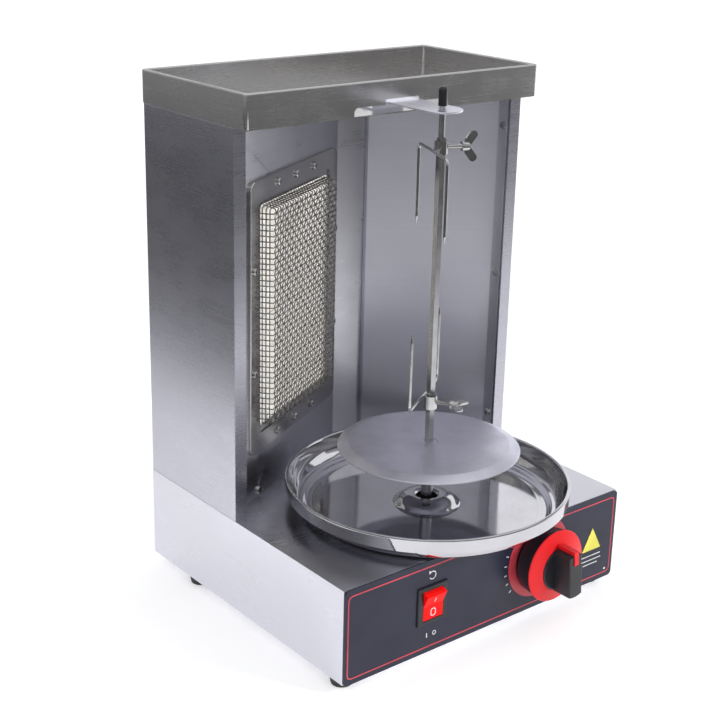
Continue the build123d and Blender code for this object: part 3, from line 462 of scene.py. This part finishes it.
# ------------------------------------------------------------------ woven burner mesh
MESH_LEFT, MESH_RIGHT = 20.0, 147.0
MESH_LOW, MESH_HIGH = 145.5, 332.0
MESH_PROUD = 13.0
MESH_PITCH = 4.6
MESH_TAPER = 2.5
WIRE_R = 0.52
CRIMP = 0.60
MESH_FOOT = 0.9


def crimped_wire(start, end, first, phase):
    """(position, height) points of one wire: foot, rise, wavy top, fall, foot."""
    top = MESH_PROUD - WIRE_R - CRIMP
    flat_from, flat_to = start + MESH_TAPER, end - MESH_TAPER
    steps = int((flat_to - flat_from) / (MESH_PITCH / 4))
    wave = []
    for k in range(steps + 1):
        s = flat_from + (flat_to - flat_from) * k / steps
        wave.append((s, top + CRIMP * phase * math.cos(math.pi * (s - first) / MESH_PITCH)))
    rise = [(start, MESH_FOOT), (start + 0.3, MESH_FOOT + 2), (flat_from - 0.5, top - 1.6)]
    fall = [(end - (s - start), d) for s, d in reversed(rise)]
    return rise + wave + fall


def woven_mesh():
    """Upright and level wires passing over and under each other, and the rows round the sides."""
    width, height = MESH_RIGHT - MESH_LEFT, MESH_HIGH - MESH_LOW
    columns = int((width - 2 * MESH_TAPER - 3) / MESH_PITCH)
    rows = int((height - 2 * MESH_TAPER - 3) / MESH_PITCH)
    first_t = MESH_LEFT + (width - columns * MESH_PITCH) / 2
    first_z = MESH_LOW + (height - rows * MESH_PITCH) / 2
    parts = []
    for i in range(columns + 1):
        t = first_t + i * MESH_PITCH
        line = crimped_wire(MESH_LOW, MESH_HIGH, first_z, (-1) ** i)
        parts.append(tube([wall_point(t, z, d) for z, d in line], WIRE_R, 6))
    for j in range(rows + 1):
        z = first_z + j * MESH_PITCH
        line = crimped_wire(MESH_LEFT, MESH_RIGHT, first_t, -(-1) ** j)
        parts.append(tube([wall_point(t, z, d) for t, d in line], WIRE_R, 6))
    for level in (MESH_FOOT + 1.9, MESH_FOOT + 5.0, MESH_FOOT + 8.1):
        inset = MESH_TAPER * level / MESH_PROUD
        corners = [(MESH_LEFT + inset, MESH_LOW + inset), (MESH_RIGHT - inset, MESH_LOW + inset),
                   (MESH_RIGHT - inset, MESH_HIGH - inset), (MESH_LEFT + inset, MESH_HIGH - inset)]
        loop = rounded(corners, 3.0, 4, closed=True)
        parts.append(tube([wall_point(t, z, level) for t, z in loop], WIRE_R, 6, ring_closed=True))
    return joined(parts)


piece("guard_mesh", *woven_mesh(), wire_steel, "chassis", ["burner_mesh"], "mesh_wire")

# ------------------------------------------------------------------ drip pan and meat disc
PAN_R = 119.0
RIM_Z = 106.0
SHEET = 0.8
TO_SPIT = Matrix.Translation((0, SPIT_Y, 0))


def thickened(line, thickness):
    """Closed outline of a sheet from its middle line, for turning."""
    half = thickness / 2
    upper, lower = [], []
    for i, p in enumerate(line):
        before, after = line[max(i - 1, 0)], line[min(i + 1, len(line) - 1)]
        run = (after - before).normalized()
        side = Vector((-run.y, run.x)) * half
        upper.append(p + side)
        lower.append(p - side)
    return upper + lower[::-1]


def drip_pan():
    """Spun pan: raised centre with a hole, flat floor, stepped corner, upright wall, rolled rim."""
    floor = BASE_H + SHEET / 2
    centre = rounded([(9.2, 87.4), (10.6, 89.0), (16.0, 89.0), (23.0, 86.4),
                      (27.6, floor), (31.5, floor)], 5, 6)
    corner = rounded([(31.5, floor), (96.5, floor), (101.5, floor + 1.4),
                      (104.5, floor + 3.8), (108.5, floor + 4.6),
                      (113.0, 92.5), (115.8, RIM_Z - 2.0)], 4, 5)
    rim = rounded([(115.8, RIM_Z - 2.0), (116.4, RIM_Z - 0.3), (118.7, RIM_Z - 0.3),
                   (PAN_R - 0.45, RIM_Z - 3.0),
                   (PAN_R - 1.0, RIM_Z - 11.5)], 1.6, 5)
    line = [Vector(p) for p in centre + corner[1:] + rim[1:]]
    return lathe([tuple(p) for p in thickened(line, SHEET)], 256)


def meat_disc():
    """Round plate with a bevelled edge and a shallow turned recess at the shaft."""
    top, edge, under = 136.5, 133.0, 1.5
    upper = [(0, top - 0.35), (6.8, top - 0.35), (7.0, top - 0.7), (7.5, top - 0.7), (7.7, top), (66.5, top),
             (67.0, top - 0.1), (75.3, edge), (75.75, edge - 0.5)]
    lower = [(75.4, edge - 1.2), (66.7, top - under), (0, top - under)]
    return lathe(upper + lower, 224)


piece("pan_shell", *drip_pan(), pan_steel, "pan", ["drip_pan"], "polished_stainless", TO_SPIT, sharp=50)
piece("disc_plate", *meat_disc(), disc_steel, "spit", ["meat_disc"], "disc_steel", TO_SPIT, sharp=12)

# ------------------------------------------------------------------ fascia print
INK = 0.12
LINE_W = 1.1


def framed(half_w, half_h, centre, radius):
    """Rounded rectangle as (x, z) points."""
    corners = [(-half_w, -half_h), (half_w, -half_h), (half_w, half_h), (-half_w, half_h)]
    return [(centre[0] + p[0], centre[1] + p[1]) for p in rounded(corners, radius, 6, closed=True)]


def ink(name, shape, finish):
    """A printed mark on the front of the fascia."""
    piece(name, *shape, finish, "chassis")


MIDDLE = (0, 40.3)
ink("print_border", band(framed(147.0, 35.8, MIDDLE, 5),
                         framed(147.0 - LINE_W, 35.8 - LINE_W, MIDDLE, 4.2), -INK, 0),
    ink_red)
KNOB_XZ = (KNOB.x, KNOB.z)
ink("print_knob_ring", band(arc(35.0, 0, 360, 96, KNOB_XZ), arc(26.4, 0, 360, 96, KNOB_XZ), -INK, 0), ink_red)


def tick(angle, start, end, width):
    """A short radial line beside the knob."""
    a = math.radians(angle)
    out, side = Vector((math.cos(a), math.sin(a))), Vector((-math.sin(a), math.cos(a))) * width / 2
    middle = Vector(KNOB_XZ)
    corners = [middle + out * start - side, middle + out * end - side, middle + out * end + side,
               middle + out * start + side]
    return prism([tuple(p) for p in corners], -INK, 0)


ticks = [tick(angle, 37.2, 39.8, 0.9) for angle in range(150, 216, 13)]
ink("print_scale", joined(ticks), ink_white)

# rotation arrow over the switch, and the two state marks under it
ARROW_XZ = (SWITCH.x, 67.5)
arrow = band(arc(3.6, -150, 120, 28, ARROW_XZ), arc(2.9, -150, 120, 28, ARROW_XZ), -INK, 0, closed=False)
head = prism([(ARROW_XZ[0] - 3.6, ARROW_XZ[1] + 4.6), (ARROW_XZ[0] - 3.6, ARROW_XZ[1] + 1.4),
              (ARROW_XZ[0] - 0.8, ARROW_XZ[1] + 2.8)], -INK, 0)
state_bar = prism(framed(0.45, 2.0, (SWITCH.x - 4, 15.5), 0.3), -INK, 0)
state_ring = band(arc(2.0, 0, 360, 32, (SWITCH.x + 4, 15.5)),
                  arc(1.3, 0, 360, 32, (SWITCH.x + 4, 15.5)), -INK, 0)
ink("print_switch_marks", joined([arrow, head, state_bar, state_ring]), ink_white)

# plain yellow triangle with its dark edge, and two plain bars under it
SIGN = [(110.0, 32.0), (133.0, 32.0), (121.5, 53.0)]
ink("print_sign_edge",
    prism([tuple(p) for p in rounded([(108.6, 31.2), (134.4, 31.2), (121.5, 54.7)], 1.6, 4, True)],
                             -INK, 0), ink_black)
ink("print_sign", prism([tuple(p) for p in rounded(SIGN, 1.0, 4, True)], -2 * INK, -INK), ink_yellow)
sign_lines = [prism(framed(half, 0.45, (121.5, z), 0.3), -INK, 0)
              for half, z in ((12.0, 26.6), (13.0, 22.4), (9.0, 18.6))]
sign_lines.append(prism(arc(1.1, 0, 345, 23, (141.0, 8.4)), -INK, 0))
ink("print_lines", joined(sign_lines), ink_white)

# marks on the rocker: a ring on the lower half and a bar on the upper half
ROCKER_FACE = -2.2
lower_mark = band(framed(2.6, 3.4, (SWITCH.x, SWITCH.z - 6.6), 2.4),
                  framed(1.9, 2.7, (SWITCH.x, SWITCH.z - 6.6), 1.8),
                  ROCKER_FACE - INK, ROCKER_FACE)
upper_mark = prism(framed(0.45, 2.4, (0, 5.6), 0.4), -INK, 0)
tip = Matrix.Translation((SWITCH.x, ROCKER_FACE, SWITCH.z)) @ Matrix.Rotation(ROCKER_SWING, 4, "X")
upper_mark = ([tip @ Vector(v) for v in upper_mark[0]], upper_mark[1])
piece("print_rocker", *joined([lower_mark, upper_mark]), ink_white, "rocker")

# ------------------------------------------------------------------ floor, light and camera
FLOOR_R = 3.0
FLOOR_GLOW = 0.33
BACKDROP_H = 1.8
BACKDROP_GLOW = 1.1


def stage_object(name, verts, faces, finish):
    """A sheet of the studio, which isn't part of the object."""
    mesh = bpy.data.meshes.new(name)
    mesh.from_pydata(verts, [], faces)
    mesh.materials.append(finish)
    obj = bpy.data.objects.new(name, mesh)
    bpy.context.scene.collection.objects.link(obj)
    return obj


def upright(line, top):
    """Vertices and faces of a wall that stands on a line of floor points, in metres."""
    verts = [(x, y, z) for x, y in line for z in (0.0, top)]
    return verts, [(k, k + 2, k + 3, k + 1) for k in range(0, len(verts) - 2, 2)]


def glowing(name, stops):
    """An even or graded glow: stops are (height above the floor in metres, brightness)."""
    mat = bpy.data.materials.new(name)
    mat.use_nodes = True
    tree = mat.node_tree
    tree.nodes.clear()
    at = add(tree, "ShaderNodeTexCoord").outputs["Object"]
    height = add(tree, "ShaderNodeSeparateXYZ", {"Vector": at}).outputs["Z"]
    ramp = add(tree, "ShaderNodeValToRGB", {"Fac": height})
    while len(ramp.color_ramp.elements) < len(stops):
        ramp.color_ramp.elements.new(0.5)
    for element, (position, level) in zip(ramp.color_ramp.elements, stops):
        element.position = position
        element.color = (level, level, level * 1.02, 1)
    glow = add(tree, "ShaderNodeEmission", {"Color": ramp.outputs["Color"]})
    add(tree, "ShaderNodeOutputMaterial", {"Surface": glow.outputs[0]})
    return mat


floor_mat, floor_tree, floor_shader, floor_coords = new_material("floor_paper", 0.0)
paper = noise(floor_tree, floor_coords, (300, 300, 300), detail=3.0)
floor_tree.links.new(blend_colour(floor_tree, paper, (0.93, 0.93, 0.94, 1), (0.97, 0.97, 0.97, 1)),
                     floor_shader.inputs["Base Color"])
floor_shader.inputs["Roughness"].default_value = 0.9
floor_shader.inputs["Emission Color"].default_value = (1, 1, 1, 1)
floor_shader.inputs["Emission Strength"].default_value = FLOOR_GLOW
ring = arc(FLOOR_R, 0, 360, 72)
stage_object("floor", [(x, y, 0) for x, y in ring[:-1]], [tuple(range(len(ring) - 1))], floor_mat)
stage_object("backdrop", *upright(ring, BACKDROP_H),
             glowing("backdrop_glow", [(0.0, BACKDROP_GLOW), (1.0, BACKDROP_GLOW)]))

# dark boards near the front and left, which show only as reflections in the steel
BOARD_LINE = [(-0.42, 1.5), (-0.42, -0.1), (-0.62, -0.68), (0.28, -0.60), (0.75, -0.74), (1.6, -1.0)]
BOARD_STOPS = [(0.0, 0.42), (0.05, 0.22), (0.12, 0.09), (0.28, 0.08), (0.42, 0.32), (0.7, 0.50)]
BOARD_CORNER = 0.3
BOARD_TOP = 0.7
boards = stage_object("boards", *upright(rounded(BOARD_LINE, BOARD_CORNER, 8), BOARD_TOP),
                      glowing("board_glow", BOARD_STOPS))
boards.visible_camera = False
boards.visible_diffuse = False
boards.visible_shadow = False

WORLD_GREY = (0.20, 0.20, 0.205, 1)
world = bpy.data.worlds.new("studio")
bpy.context.scene.world = world
world.use_nodes = True
background = world.node_tree.nodes["Background"]
background.inputs["Color"].default_value = WORLD_GREY
background.inputs["Strength"].default_value = 1.0


def softbox(name, place, aim, width, height, power, spread_angle=180, mirrored=True):
    """A rectangular area light turned towards a point."""
    data = bpy.data.lights.new(name, "AREA")
    data.shape = "RECTANGLE"
    data.spread = math.radians(spread_angle)
    data.size = width
    data.size_y = height
    data.energy = power
    obj = bpy.data.objects.new(name, data)
    obj.location = place
    obj.rotation_euler = (Vector(aim) - Vector(place)).to_track_quat("-Z", "Y").to_euler()
    obj.visible_glossy = mirrored
    bpy.context.scene.collection.objects.link(obj)


# watts; the narrow front light is far stronger for each watt, and stays out of reflections
TOP_POWER = 46
FRONT_POWER = 1.1
FRONT_SPREAD = 24
LEFT_POWER = 8
softbox("top_light", (0.1, 0.3, 2.4), (0.1, 0.3, 0), 5.0, 5.0, TOP_POWER)
softbox("front_light", (0.95, -1.55, 1.15), (-0.03, 0.1, 0.24), 0.5, 0.5, FRONT_POWER, FRONT_SPREAD,
        mirrored=False)
softbox("left_light", (-2.2, -0.9, 1.3), (0, 0, 0.2), 0.8, 1.2, LEFT_POWER)

AZIMUTH = math.radians(-39.04)
ELEVATION = math.radians(18.53)
ROLL = math.radians(1.25)
AIM = Vector((-0.0687, -0.0246, 0.2536))
DISTANCE = 1.1112
LENS_MM = 70.69
SHIFT = (0.0121, -0.0482)
camera_data = bpy.data.cameras.new("camera")
camera_data.lens = LENS_MM
camera_data.sensor_width = 36
camera_data.shift_x, camera_data.shift_y = SHIFT
camera_data.clip_start = 0.05
camera = bpy.data.objects.new("camera", camera_data)
back = Vector((math.sin(AZIMUTH) * math.cos(ELEVATION),
               -math.cos(AZIMUTH) * math.cos(ELEVATION), math.sin(ELEVATION)))
camera.location = AIM + back * DISTANCE
level_right = Vector((math.cos(AZIMUTH), math.sin(AZIMUTH), 0))
level_up = back.cross(level_right)
right = level_right * math.cos(ROLL) + level_up * math.sin(ROLL)
up = level_up * math.cos(ROLL) - level_right * math.sin(ROLL)
camera.rotation_euler = Matrix((right, up, back)).transposed().to_euler()
bpy.context.scene.collection.objects.link(camera)
bpy.context.scene.camera = camera
bpy.context.scene.view_settings.view_transform = "Standard"
